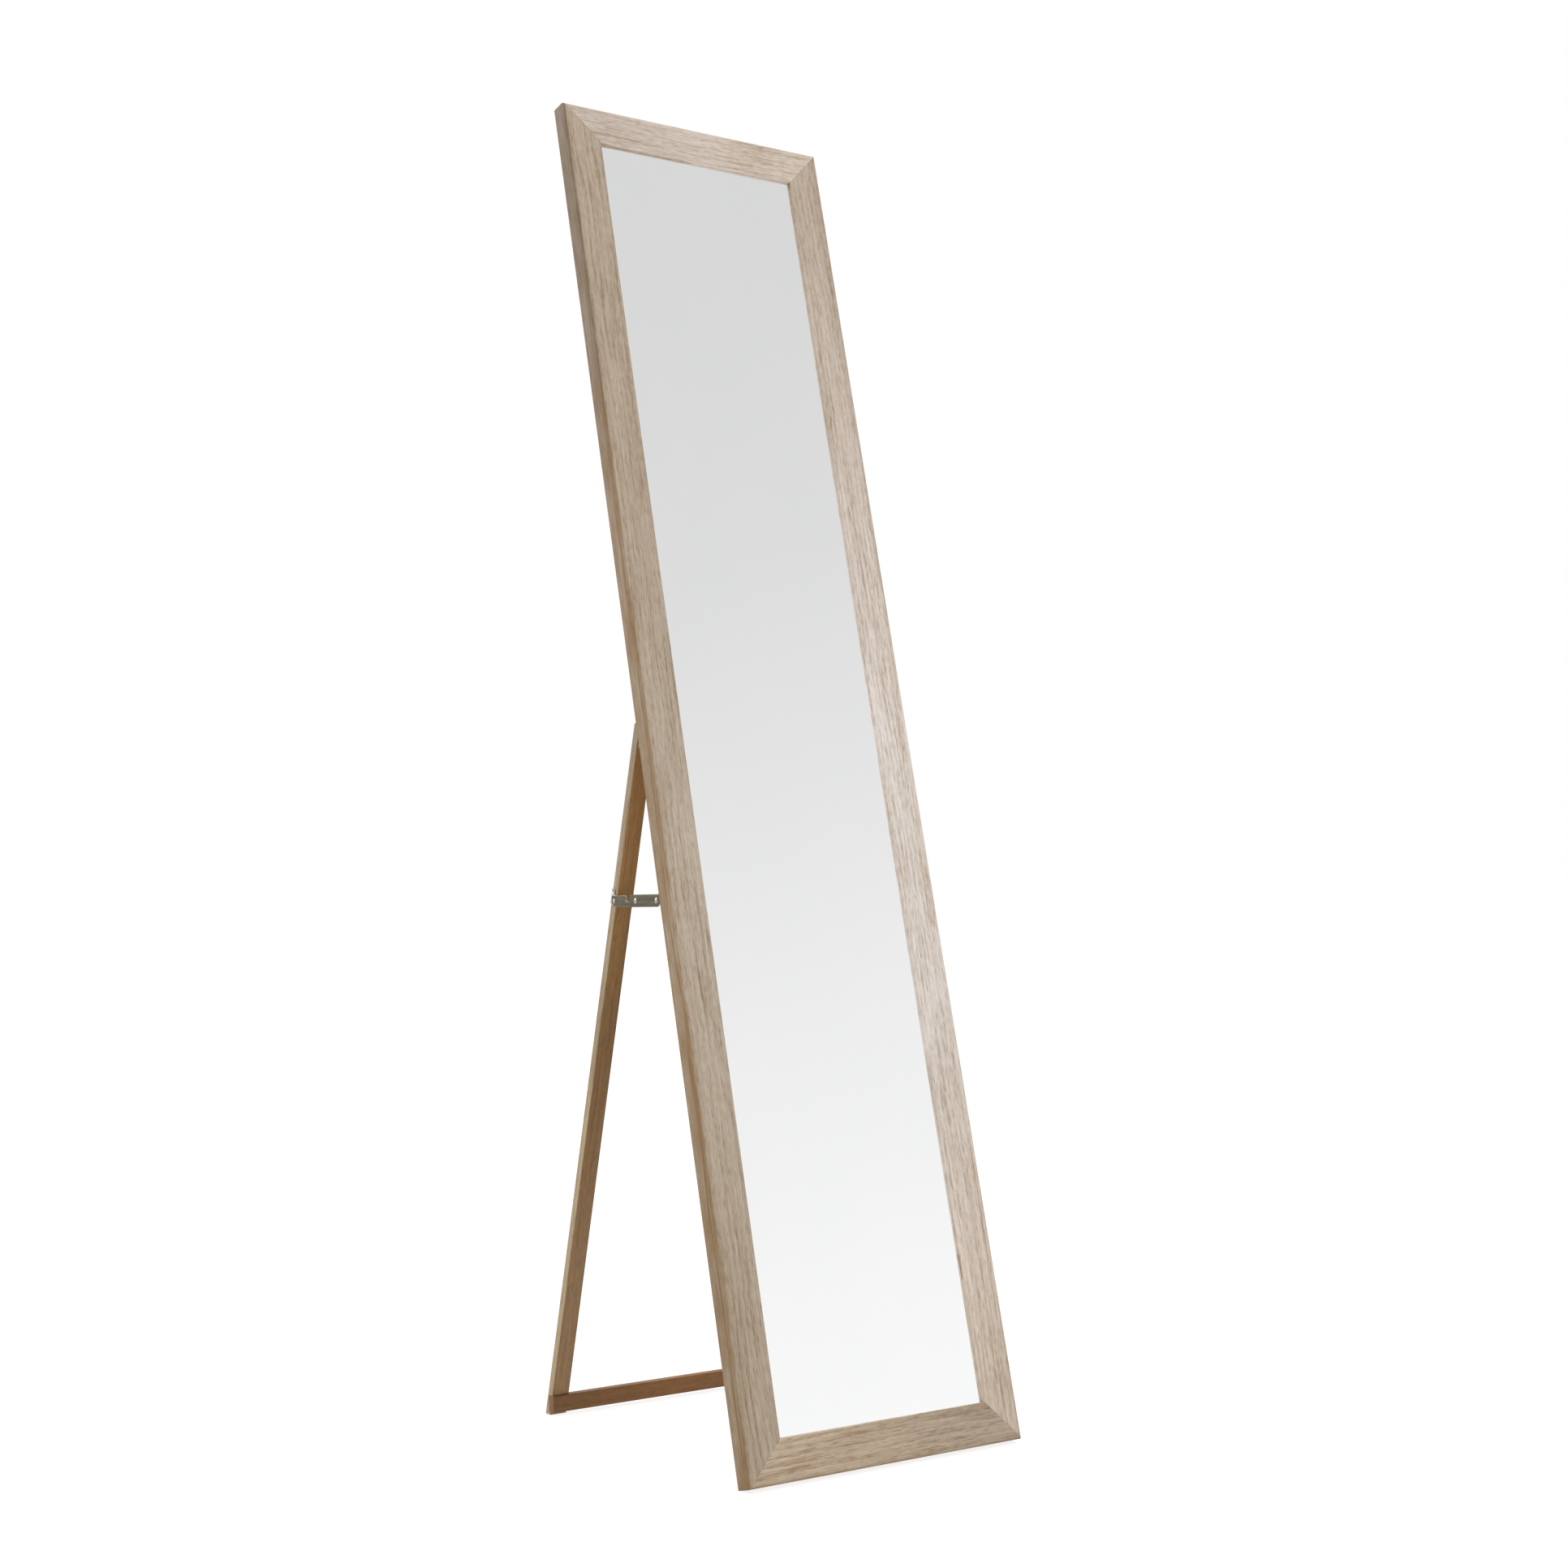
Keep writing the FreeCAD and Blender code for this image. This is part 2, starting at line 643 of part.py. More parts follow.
def rivet(label, spot, shank, head="rivet_head_height", tail=False):
    """A round-headed rivet along Z: its shank ends at 0 under the head; a tail is optional."""
    pieces = [rod(f"{label}_shank", "rivet_radius", shank, place(z=-number(shank))),
              taper(f"{label}_head", "rivet_head_radius", "rivet_head_top_radius", head)]
    if tail:
        pieces.append(rod(f"{label}_tail", "rivet_tail_radius", "rivet_tail_height",
                          place(z=-number(shank) - dim("rivet_tail_height"))))
    node(joined(label, pieces), label, spot)


def stay_rivets(side):
    name = SIDE_NAMES[side]

    def head_at(layer, along):
        pivot = stay_place(side, 0).multVec(FreeCAD.Vector(0, along, 0))
        return place(side * (leg_side + layer), pivot.y, pivot.z, outward(side))

    bracket_face = layer_bracket + dim("bracket_thickness")
    link_face = layer_front_link + dim("link_thickness")
    rivet(f"{name}_frame_rivet", head_at(bracket_face, 0),
          "bracket_thickness + link_thickness + 2 * layer_gap", tail=True)
    rivet(f"{name}_middle_rivet", head_at(link_face, dim("front_link_length")),
          "2 * link_thickness + washer_layer + layer_gap", tail=True)
    rivet(f"{name}_leg_rivet", head_at(layer_rear_link + dim("link_thickness"), stay_length),
          "link_thickness", head="low_head_height")


def middle_washer(side):
    """The spacer between the two links, on the middle rivet."""
    label = f"{SIDE_NAMES[side]}_middle_washer"
    thickness = "washer_layer - layer_gap"
    disc = rod(f"{label}_disc", "washer_radius", thickness)
    hole = rod(f"{label}_hole", "rivet_radius", thickness)
    spot = stay_place(side, 0).multVec(FreeCAD.Vector(0, dim("front_link_length"), 0))
    inner = layer_front_link - number(thickness)
    node(difference(label, disc, hole), label,
         place(side * (leg_side + inner), spot.y, spot.z, outward(side)))


def frame_bracket_screws(side):
    """Two screws through the bracket's foot, one above the other and further in."""
    outer = leg_side + layer_bracket
    rise = dim("bracket_screw_rise")
    return [place(side * (outer - across), dim("bracket_thickness"),
                  dim("frame_pivot_height") + up, INTO_FRONT)
            for across, up in ((dim("bracket_screw_near"), rise),
                               (dim("bracket_screw_far"), -rise))]


def frame_bracket(side):
    """An angle bracket: its foot on the frame's back, its ear outside the front link."""
    label = f"{SIDE_NAMES[side]}_frame_bracket"
    body = new_body(f"{label}_blank")
    ear = outline(body, f"{label}_ear", "YZ_Plane", [
        ("0", "0 - bracket_half"), ("bracket_reach", "0 - bracket_half"),
        ("bracket_reach", "bracket_half"), ("0", "bracket_half")])
    pad(body, ear, "bracket_thickness", backwards=side < 0)
    soften(body, "bracket_radius", link_corners(dim("bracket_half"), dim("bracket_reach")))
    foot = outline(body, f"{label}_foot", "YZ_Plane", [
        ("0", "0 - bracket_half"), ("bracket_thickness", "0 - bracket_half"),
        ("bracket_thickness", "bracket_half"), ("0", "bracket_half")])
    pad(body, foot, "bracket_foot", backwards=side > 0)
    pivot_holes(body, "rivet_radius", ("frame_pivot_offset", "0"))
    body.Placement = place(side * (leg_side + layer_bracket), 0, dim("frame_pivot_height"))
    node(drilled(label, body, frame_bracket_screws(side)), label, FRAME)


def leg_bracket_screws(side):
    """One screw in the tab above the stay and one behind the stay's end."""
    return [place(side * (leg_side + dim("leg_plate_thickness")), dim("plate_screw_depth"),
                  up - dim("leg_pivot_drop"), inward(side))
            for up in (dim("plate_screw_high"), -dim("plate_screw_low"))]


def leg_bracket(side):
    """A flat plate on the leg's outer side, which reaches forward to the stay's pivot."""
    label = f"{SIDE_NAMES[side]}_leg_bracket"
    body = new_body(f"{label}_blank")
    front = "0 - leg_pivot_depth"
    tab = "plate_tab_front - leg_pivot_depth"
    back = "plate_back - leg_pivot_depth"
    plate = outline(body, f"{label}_outline", "YZ_Plane", [
        (front, "0 - plate_low"), (back, "0 - plate_low"), (back, "plate_high"),
        (tab, "plate_high"), (tab, "plate_tab_low"), (front, "plate_front_high")])
    pad(body, plate, "leg_plate_thickness", backwards=side < 0)
    soften(body, "plate_radius", lambda edge: runs_along(edge, ALONG_X))
    pivot_holes(body, "rivet_radius + running_gap", ("0", "0"))
    body.Placement = place(side * leg_side, dim("leg_pivot_depth"), -dim("leg_pivot_drop"))
    node(drilled(label, body, leg_bracket_screws(side)), label, LEGS)


def bracket_screws():
    for label, carrier, spots in (("frame_bracket_screws", FRAME, frame_bracket_screws),
                                  ("leg_bracket_screws", LEGS, leg_bracket_screws)):
        screws = [screw(f"{label}_{SIDE_NAMES[side]}_{i}", spot)
                  for side in SIDE_NAMES for i, spot in enumerate(spots(side))]
        node(gathered(label, screws), label, carrier)


# ---------------------------------------------------------------- build and check

frame_members()
panes()
backing_points()
corner_nails()
cross_bar()
cross_bar_screws()
hinge_screws()
bracket_screws()
for side in SIDE_NAMES:
    leg(side)
    hinge_frame_leaf(side)
    hinge_leg_leaf(side)
    hinge_pin(side)
    frame_bracket(side)
    leg_bracket(side)
    front_link(side)
    rear_link(side)
    stay_rivets(side)
    middle_washer(side)
doc.recompute()

failed = [feature.Name for feature in doc.Objects
          if "Invalid" in feature.State or "Error" in feature.State]
failed += [feature.Label for feature in NODES
           if feature.Shape.isNull() or not feature.Shape.isValid()]
if failed:
    raise RuntimeError(f"features that did not build: {failed}")

os.makedirs("parts", exist_ok=True)
for feature in NODES:
    feature.Shape.exportStep(f"parts/{feature.Label}.step")
print(f"{len(NODES)} pieces written")
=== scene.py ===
import math

import bmesh
import bpy
from mathutils import Matrix, Vector


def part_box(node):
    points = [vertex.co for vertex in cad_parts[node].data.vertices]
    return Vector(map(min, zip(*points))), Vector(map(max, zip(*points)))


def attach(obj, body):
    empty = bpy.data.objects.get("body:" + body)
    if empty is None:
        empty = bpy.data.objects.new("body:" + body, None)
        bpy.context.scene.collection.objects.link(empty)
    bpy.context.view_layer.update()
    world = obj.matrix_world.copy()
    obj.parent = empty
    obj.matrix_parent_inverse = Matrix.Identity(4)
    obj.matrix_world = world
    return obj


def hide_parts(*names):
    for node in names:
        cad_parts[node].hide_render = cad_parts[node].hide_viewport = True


# A leaning floor mirror in a pale oak frame, with its folding easel legs and steel stays.
# Lengths are metres.  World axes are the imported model's: +X right seen from the front, +Y to the
# rear, +Z up.  Every wooden piece is built in axes of its own, whose Z runs along its grain.

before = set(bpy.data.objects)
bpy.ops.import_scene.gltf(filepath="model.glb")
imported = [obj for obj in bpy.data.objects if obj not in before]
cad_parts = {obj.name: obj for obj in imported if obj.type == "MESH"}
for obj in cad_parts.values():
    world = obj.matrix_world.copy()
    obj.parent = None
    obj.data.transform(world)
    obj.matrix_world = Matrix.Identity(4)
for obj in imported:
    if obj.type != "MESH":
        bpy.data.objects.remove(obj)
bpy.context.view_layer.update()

MM = 0.001
LEAN = math.radians(14)
LEG_SLOPE = math.radians(14)
FRAME_HEIGHT = 1600 * MM
FRAME_WIDTH = 370 * MM
FRAME_DEPTH = 23 * MM
FACE_WIDTH = 46 * MM
REBATE_WIDTH = 8 * MM
LIP_THICKNESS = 5 * MM
RIVET_RADIUS = 2 * MM
RIVET_DOMES = {"frame": (3.3 * MM, 1.3 * MM), "middle": (3.3 * MM, 1.3 * MM),
               "leg": (2.7 * MM, 0.85 * MM)}
LOW_HEAD = 0.5 * MM
RIVET_TAIL_RADIUS = 2.8 * MM
RIVET_TAIL = 0.3 * MM
SCREW_RADIUS = 1.1 * MM
SCREW_HEAD_RADIUS = 2.2 * MM
SCREW_HEAD_HEIGHT = 1.1 * MM
RECESS_DEPTH = 0.75 * MM
WOOD_EDGE = 0.35 * MM

CAMERA_PLACE = (-1.5411, -2.2043, 0.6418)
CAMERA_DEGREES = (90 + 2.154, 0.168, -35.232)
CAMERA_LENS = 53.08
CAMERA_SENSOR = 36

CEILING_LIGHT = 2.2
FLOOR_REACH = 30
FLOOR_GLOW = 0.84
SOFTBOX_POWER = 60

SIDES = {"left": -1, "right": 1}


def srgb(red, green, blue):
    """A display colour of 0 to 255 as the linear colour that shaders take."""
    def linear(value):
        share = value / 255
        return share / 12.92 if share <= 0.04045 else ((share + 0.055) / 1.055) ** 2.4
    return (linear(red), linear(green), linear(blue), 1.0)


# ---------------------------------------------------------------- camera, world, lights, floor

scene = bpy.context.scene
scene.view_settings.view_transform = "Standard"

camera_data = bpy.data.cameras.new("camera")
camera_data.sensor_width = CAMERA_SENSOR
camera_data.lens = CAMERA_LENS
camera = bpy.data.objects.new("camera", camera_data)
camera.location = CAMERA_PLACE
camera.rotation_euler = [math.radians(angle) for angle in CAMERA_DEGREES]
scene.collection.objects.link(camera)
scene.camera = camera


def add_node(tree, kind, inputs=None, **settings):
    """A shader node: inputs are values or the sockets that feed them, by name or number."""
    made = tree.nodes.new(kind)
    for name, value in settings.items():
        setattr(made, name, value)
    for key, value in (inputs or {}).items():
        if isinstance(value, bpy.types.NodeSocket):
            tree.links.new(value, made.inputs[key])
        else:
            made.inputs[key].default_value = value
    return made


def ramp(tree, factor, *stops):
    """A colour ramp of (position, colour) stops."""
    made = add_node(tree, "ShaderNodeValToRGB", {"Fac": factor})
    elements = made.color_ramp.elements
    while len(elements) < len(stops):
        elements.new(0.5)
    for element, (position, colour) in zip(elements, stops):
        element.position = position
        element.color = colour
    return made.outputs["Color"]


def grey(value):
    return (value, value, value, 1.0)


def studio_world():
    """White all round.  The part that the glass reflects greys a little with height, and the
    zenith is a brighter light.
    """
    world = bpy.data.worlds.new("studio")
    world.use_nodes = True
    tree = world.node_tree
    tree.nodes.clear()
    direction = add_node(tree, "ShaderNodeTexCoord").outputs["Generated"]
    axes = add_node(tree, "ShaderNodeSeparateXYZ", {"Vector": direction})
    ceiling = ramp(tree, axes.outputs["Z"], (0.14, grey(1.0)), (0.21, grey(0.965)),
                   (0.31, grey(0.9)), (0.41, grey(0.82)), (0.50, grey(0.757)),
                   (0.60, grey(0.718)), (0.72, grey(0.71)), (0.84, grey(1.0)))
    behind = add_node(tree, "ShaderNodeMapRange",
                      {"Value": axes.outputs["Y"], "From Min": -0.25, "From Max": 0.25},
                      interpolation_type="SMOOTHSTEP").outputs["Result"]
    colour = add_node(tree, "ShaderNodeMix",
                      {"Factor": behind, "A": ceiling, "B": grey(1.0)}, data_type="RGBA")
    overhead = add_node(tree, "ShaderNodeMapRange", {
        "Value": axes.outputs["Z"], "From Min": 0.74, "From Max": 0.88, "To Min": 1.0,
        "To Max": CEILING_LIGHT}, interpolation_type="SMOOTHSTEP").outputs["Result"]
    light = add_node(tree, "ShaderNodeBackground",
                     {"Color": colour.outputs[2], "Strength": overhead})
    add_node(tree, "ShaderNodeOutputWorld", {"Surface": light.outputs["Background"]})
    scene.world = world


def softbox(name, location, target, size, power):
    lamp = bpy.data.lights.new(name, "AREA")
    lamp.shape = "DISK"
    lamp.size = size
    lamp.energy = power
    holder = bpy.data.objects.new(name, lamp)
    holder.location = location
    aim = Vector(target) - Vector(location)
    holder.rotation_euler = aim.to_track_quat("-Z", "Y").to_euler()
    scene.collection.objects.link(holder)


def plain_floor():
    """A lit white floor, on which only a faint contact shadow shows."""
    mesh = bpy.data.meshes.new("floor")
    corners = [(-1, -1), (1, -1), (1, 1), (-1, 1)]
    mesh.from_pydata([(FLOOR_REACH * x, FLOOR_REACH * y, 0) for x, y in corners], [],
                     [(0, 1, 2, 3)])
    floor = bpy.data.objects.new("floor", mesh)
    scene.collection.objects.link(floor)
    paint = bpy.data.materials.new("floor_paint")
    paint.use_nodes = True
    inputs = paint.node_tree.nodes["Principled BSDF"].inputs
    inputs["Base Color"].default_value = grey(0.2)
    inputs["Roughness"].default_value = 1.0
    inputs["Specular IOR Level"].default_value = 0.0
    inputs["Emission Color"].default_value = grey(1.0)
    inputs["Emission Strength"].default_value = FLOOR_GLOW
    mesh.materials.append(paint)


studio_world()
softbox("key", (0.3, -3.2, 3.4), (0, 0, 0.8), 2.4, SOFTBOX_POWER)
softbox("rear_fill", (-2.6, 2.6, 2.6), (0, 0, 0.7), 3.0, SOFTBOX_POWER)
plain_floor()

# ---------------------------------------------------------------- materials

# The oak pattern is a sum of layers, each weighted, about a mean level.
OAK_MEAN_LEVEL = 0.70
OAK_SPREAD = 0.23
OAK_DARK = (0.62, 0.51, 0.39)
OAK_LIGHT = (1.24, 1.30, 1.38)
OAK_PORE = (0.52, 0.42, 0.30)
# Brown stain and painted shade on the frame members' outer sides.
SIDE_STAIN_AND_SHADE = (0.56, 0.36, 0.11)
STREAK_FROM_BACK = 16.5 * MM
STREAK_WANDER = 4 * MM
# Painted light around the middles of the stiles.
MIDDLE_PAINTED_LIGHT = (1.60, 1.79, 2.10, 1.0)
# Painted sheen on the sides of the legs.
LEG_SIDE_SHEEN = (1.1, 1.45, 2.3, 1.0)


def tinted(colour, red, green, blue):
    """A colour with each of its channels scaled."""
    return (colour[0] * red, colour[1] * green, colour[2] * blue, 1.0)


class Finish:
    """A material's node tree, with the steps that several finishes share."""

    def __init__(self, name):
        self.material = bpy.data.materials.new(name)
        self.material.use_nodes = True
        self.tree = self.material.node_tree
        self.surface = self.tree.nodes["Principled BSDF"]
        self.point = self.add("ShaderNodeTexCoord").outputs["Object"]

    def add(self, kind, inputs=None, **settings):
        return add_node(self.tree, kind, inputs, **settings)

    def stretched(self, scale, location=(0, 0, 0), vector=None, rotation=(0, 0, 0)):
        return self.add("ShaderNodeMapping", {
            "Vector": vector or self.point, "Scale": scale, "Location": location,
            "Rotation": rotation}).outputs["Vector"]

    def noise(self, vector, scale, detail=2.0, roughness=0.5, distortion=0.0):
        return self.add("ShaderNodeTexNoise", {
            "Vector": vector, "Scale": scale, "Detail": detail, "Roughness": roughness,
            "Distortion": distortion}).outputs["Fac"]

    def rescaled(self, value, low, high, to_low=0.0, to_high=1.0):
        return self.add("ShaderNodeMapRange", {
            "Value": value, "From Min": low, "From Max": high, "To Min": to_low,
            "To Max": to_high}).outputs["Result"]

    def math(self, operation, first, second=0.0):
        return self.add("ShaderNodeMath", {0: first, 1: second},
                        operation=operation).outputs["Value"]

    def mix(self, factor, first, second, blend="MIX"):
        return self.add("ShaderNodeMix", {"Factor": factor, "A": first, "B": second},
                        data_type="RGBA", blend_type=blend).outputs[2]

    def scaled(self, colour, gain):
        """A colour with all of its channels scaled by a value."""
        return self.add("ShaderNodeVectorMath", {0: colour, "Scale": gain},
                        operation="SCALE").outputs["Vector"]

    def ramp(self, factor, *stops):
        return ramp(self.tree, factor, *stops)

    def bump(self, height, distance, strength=1.0):
        made = self.add("ShaderNodeBump",
                        {"Height": height, "Distance": distance, "Strength": strength})
        self.set("Normal", made.outputs["Normal"])

    def set(self, name, value):
        socket = self.surface.inputs[name]
        if isinstance(value, bpy.types.NodeSocket):
            self.tree.links.new(value, socket)
        else:
            socket.default_value = value


def oak(name, tone, seed, contrast=1.0, gloss=0.4, shade=None):
    """Oak along Z: growth rings, broken streaks, fine fibre, open pores and slow mottling.

    tone is its mean colour.  shade, if given, takes the finish and its colour so far and
    returns a new colour.
    """
    finish = Finish(name)
    offset = (seed * 0.37, seed * 0.53, seed * 1.7)
    drift = finish.noise(finish.stretched((1, 1, 0.3), offset), 9.0, 2.0)
    axes = finish.add("ShaderNodeSeparateXYZ", {"Vector": finish.point})
    across = finish.math("ADD", axes.outputs["X"],
                         finish.rescaled(drift, 0.3, 0.7, -0.005, 0.005))
    bent = finish.add("ShaderNodeCombineXYZ", {
        "X": across, "Y": axes.outputs["Y"], "Z": axes.outputs["Z"]}).outputs["Vector"]

    pith = finish.stretched((1, 1, 0.06), (0.018 + seed * 0.003, 0.045, offset[2]), bent,
                            (0.012, 0.02, 0))
    rings = finish.add("ShaderNodeTexWave", {
        "Vector": pith, "Scale": 48.0, "Distortion": 7.0, "Detail": 4.0, "Detail Scale": 0.4,
        "Detail Roughness": 0.7}, wave_type="RINGS", rings_direction="Z",
        wave_profile="SAW").outputs["Fac"]
    streaks = finish.noise(finish.stretched((1, 1, 0.05), offset, bent), 230.0, 5.0, 0.68)
    broken = finish.noise(finish.stretched((1, 1, 0.3), offset, bent), 300.0, 3.0, 0.6)
    fibres = finish.noise(finish.stretched((1, 1, 0.03), offset, bent), 760.0, 3.0, 0.6)
    mottle = finish.noise(finish.stretched((1, 1, 0.22), offset), 24.0, 3.0, 0.55)
    pore_noise = finish.noise(finish.stretched((1, 1, 0.055), offset, bent), 1150.0, 1.0)
    pores = finish.rescaled(pore_noise, 0.60, 0.70)

    level = 0.0
    for layer, weight in ((rings, 0.10), (streaks, 0.46), (broken, 0.30), (fibres, 0.28),
                          (mottle, 0.28)):
        level = finish.math("ADD", finish.math("MULTIPLY", layer, weight), level)
    spread = OAK_SPREAD / contrast
    level = finish.rescaled(level, OAK_MEAN_LEVEL - spread, OAK_MEAN_LEVEL + spread)
    colour = finish.ramp(level, (0.0, tinted(tone, *OAK_DARK)), (0.5, tone),
                         (1.0, tinted(tone, *OAK_LIGHT)))
    colour = finish.mix(finish.math("MULTIPLY", pores, 0.5 * contrast), colour,
                        tinted(tone, *OAK_PORE))
    if shade:
        colour = shade(finish, colour)
    finish.set("Base Color", colour)
    finish.set("Roughness", finish.rescaled(fibres, 0.3, 0.7, 0.64, 0.5))
    finish.set("Specular IOR Level", gloss)
    relief = finish.math("SUBTRACT", finish.math("MULTIPLY", fibres, 0.6), pores)
    finish.bump(relief, 0.12 * MM, 0.55)
    return finish.material


def steel(name, dark, light, roughness, seed, grain=2600.0, stretch=0.25):
    """Plated pressed steel: fine speckle, faint drawing lines along Z and dull patches."""
    finish = Finish(name)
    offset = (seed * 0.11, seed * 0.07, seed * 0.19)
    speckle = finish.noise(finish.stretched((1, 1, stretch), offset), grain, 3.0, 0.7)
    lines = finish.noise(finish.stretched((1, 1, 0.03), offset), grain * 0.6, 2.0)
    patches = finish.noise(finish.stretched((1, 1, 1), offset), 160.0, 3.0, 0.6)
    tone = finish.math("ADD", finish.math("MULTIPLY", speckle, 0.5),
                       finish.math("MULTIPLY", patches, 0.3))
    tone = finish.math("ADD", tone, finish.math("MULTIPLY", lines, 0.2))
    finish.set("Base Color", finish.ramp(finish.rescaled(tone, 0.35, 0.65), (0.0, dark),
                                         (1.0, light)))
    finish.set("Metallic", 1.0)
    finish.set("Roughness", finish.rescaled(patches, 0.3, 0.7, roughness, roughness + 0.12))
    finish.bump(tone, 0.03 * MM, 0.4)
    return finish.material


def silvered_glass():
    """A clean mirror, with the barest haze and float-glass waviness."""
    finish = Finish("silvered_glass")
    haze = finish.noise(finish.stretched((1, 1, 0.6)), 7.0, 3.0, 0.6)
    finish.set("Base Color", finish.ramp(haze, (0.35, (0.945, 0.95, 0.95, 1)),
                                         (0.65, (0.955, 0.958, 0.957, 1))))
    finish.set("Metallic", 1.0)
    finish.set("Roughness", finish.rescaled(haze, 0.4, 0.7, 0.0, 0.02))
    ripple = finish.noise(finish.stretched((1, 1, 0.3)), 3.0, 1.0)
    finish.bump(ripple, 0.02 * MM, 0.3)
    return finish.material


def hardboard():
    """Brown pressed fibreboard: speckled fibres and cloudy, slightly shiny patches."""
    finish = Finish("brown_hardboard")
    fibres = finish.noise(finish.stretched((1, 1, 0.6)), 900.0, 4.0, 0.75, 0.6)
    clouds = finish.noise(finish.stretched((1, 1, 1)), 14.0, 4.0, 0.6)
    flecks = finish.rescaled(finish.noise(finish.stretched((1, 1, 0.4)), 380.0, 2.0), 0.62, 0.7)
    tone = finish.math("ADD", finish.math("MULTIPLY", fibres, 0.6),
                       finish.math("MULTIPLY", clouds, 0.4))
    colour = finish.ramp(finish.rescaled(tone, 0.35, 0.65), (0.0, srgb(112, 84, 58)),
                         (0.5, srgb(136, 106, 77)), (1.0, srgb(158, 128, 97)))
    colour = finish.mix(finish.math("MULTIPLY", flecks, 0.5), colour, srgb(88, 62, 42))
    finish.set("Base Color", colour)
    finish.set("Roughness", finish.rescaled(clouds, 0.3, 0.7, 0.45, 0.62))
    finish.bump(fibres, 0.06 * MM, 0.5)
    return finish.material


def stain_and_painted_shade(tone):
    """Darkens a member's outer side and the border of its face, partly with a brown stain and
    partly with painted shade, with a darker streak along its rounded edge.

    The side is darkest towards the far end of a stile's grain.  The thin inner face of the
    lip is paler, with painted light standing for light from the glass.
    """
    def shade(finish, colour):
        axes = finish.add("ShaderNodeSeparateXYZ", {"Vector": finish.point})
        wobble = finish.noise(finish.stretched((1, 1, 0.06)), 70.0, 3.0, 0.6)
        line = finish.math("ADD", axes.outputs["Y"],
                           finish.rescaled(wobble, 0.3, 0.7, -STREAK_WANDER, STREAK_WANDER))
        distance = finish.math("ABSOLUTE", finish.math("ADD", line, STREAK_FROM_BACK))
        streak = finish.rescaled(distance, 0.5 * MM, 3.0 * MM, 1.0, 0.0)
        clouds = finish.noise(finish.stretched((1, 1, 0.5)), 26.0, 3.0, 0.6)
        clouds = finish.rescaled(clouds, 0.36, 0.64, 0.4, 0.85)
        # The outer side and the border of the face next to it are darkened partly by a brown stain
        # and partly by painted shade.
        side = finish.rescaled(axes.outputs["X"], 1 * MM, 3 * MM, 1.0, 0.0)
        near_side = finish.rescaled(axes.outputs["X"], 3 * MM, 16 * MM, 0.12, 0.0)
        amount = finish.math("MULTIPLY", finish.math("MAXIMUM", streak, clouds), side)
        stained_shaded = finish.mix(finish.math("MAXIMUM", amount, near_side), colour,
                             tinted(tone, *SIDE_STAIN_AND_SHADE))
        darker_end = finish.math("MULTIPLY", side,
                                 finish.rescaled(axes.outputs["Z"], 1.05, 1.4, 0.0, 0.34))
        # Painted light: the thin inner face of the lip is made paler.
        lip_painted_light = finish.rescaled(axes.outputs["X"], FACE_WIDTH - 0.8 * MM,
                                      FACE_WIDTH - 0.1 * MM, 1.0, 1.4)
        return finish.scaled(stained_shaded, finish.math("SUBTRACT", lip_painted_light, darker_end))
    return shade


def toned_along(start, start_gain, end, end_gain, inner=None):
    """Scales a piece's colour, the gain passing evenly from one place along it to another."""
    def shade(finish, colour):
        if inner:
            colour = inner(finish, colour)
        along = finish.add("ShaderNodeSeparateXYZ", {"Vector": finish.point}).outputs["Z"]
        gain = finish.rescaled(along, start, end, start_gain, end_gain)
        return finish.scaled(colour, gain)
    return shade


def painted_light_middle(centre_z, reach, most, inner):
    """Paints light on a member around one place along it, after another shade has been put on."""
    def shade(finish, colour):
        along = finish.add("ShaderNodeSeparateXYZ", {"Vector": finish.point}).outputs["Z"]
        distance = finish.math("ABSOLUTE", finish.math("SUBTRACT", along, centre_z))
        amount = finish.add("ShaderNodeMapRange", {
            "Value": distance, "From Min": 0.0, "From Max": reach, "To Min": most,
            "To Max": 0.0}, interpolation_type="SMOOTHERSTEP").outputs["Result"]
        stained_shaded = inner(finish, colour)
        # Painted light: a paler, cooler colour around the middle of the member.
        painted_lit = finish.mix(1.0, stained_shaded, MIDDLE_PAINTED_LIGHT, "MULTIPLY")
        return finish.mix(amount, stained_shaded, painted_lit)
    return shade


# ---------------------------------------------------------------- mesh helpers


def turn(axis, angle):
    """A rotation about one axis, in radians."""
    return Matrix.Rotation(angle, 4, axis)


def finished_object(name, bm, axes, material, body, replaced=(), smooth_angle=35):
    """Makes a piece of a bmesh that is given in its own axes, and registers it."""
    bmesh.ops.recalc_face_normals(bm, faces=bm.faces)
    mesh = bpy.data.meshes.new(name)
    bm.to_mesh(mesh)
    bm.free()
    for face in mesh.polygons:
        face.use_smooth = True
    mesh.set_sharp_from_angle(angle=math.radians(smooth_angle))
    mesh.materials.append(material)
    piece = bpy.data.objects.new(name, mesh)
    scene.collection.objects.link(piece)
    piece.matrix_world = axes
    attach(piece, body)
    if replaced:
        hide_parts(*replaced)
    return piece


def clean_copy(node, axes):
    """A CAD node's shape in other axes, with one face to each flat region."""
    bm = bmesh.new()
    bm.from_mesh(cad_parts[node].data)
    bmesh.ops.transform(bm, matrix=axes.inverted(), verts=bm.verts)
    bmesh.ops.remove_doubles(bm, verts=bm.verts, dist=0.002 * MM)
    bmesh.ops.dissolve_limit(bm, angle_limit=math.radians(0.5), verts=bm.verts, edges=bm.edges)
    return bm


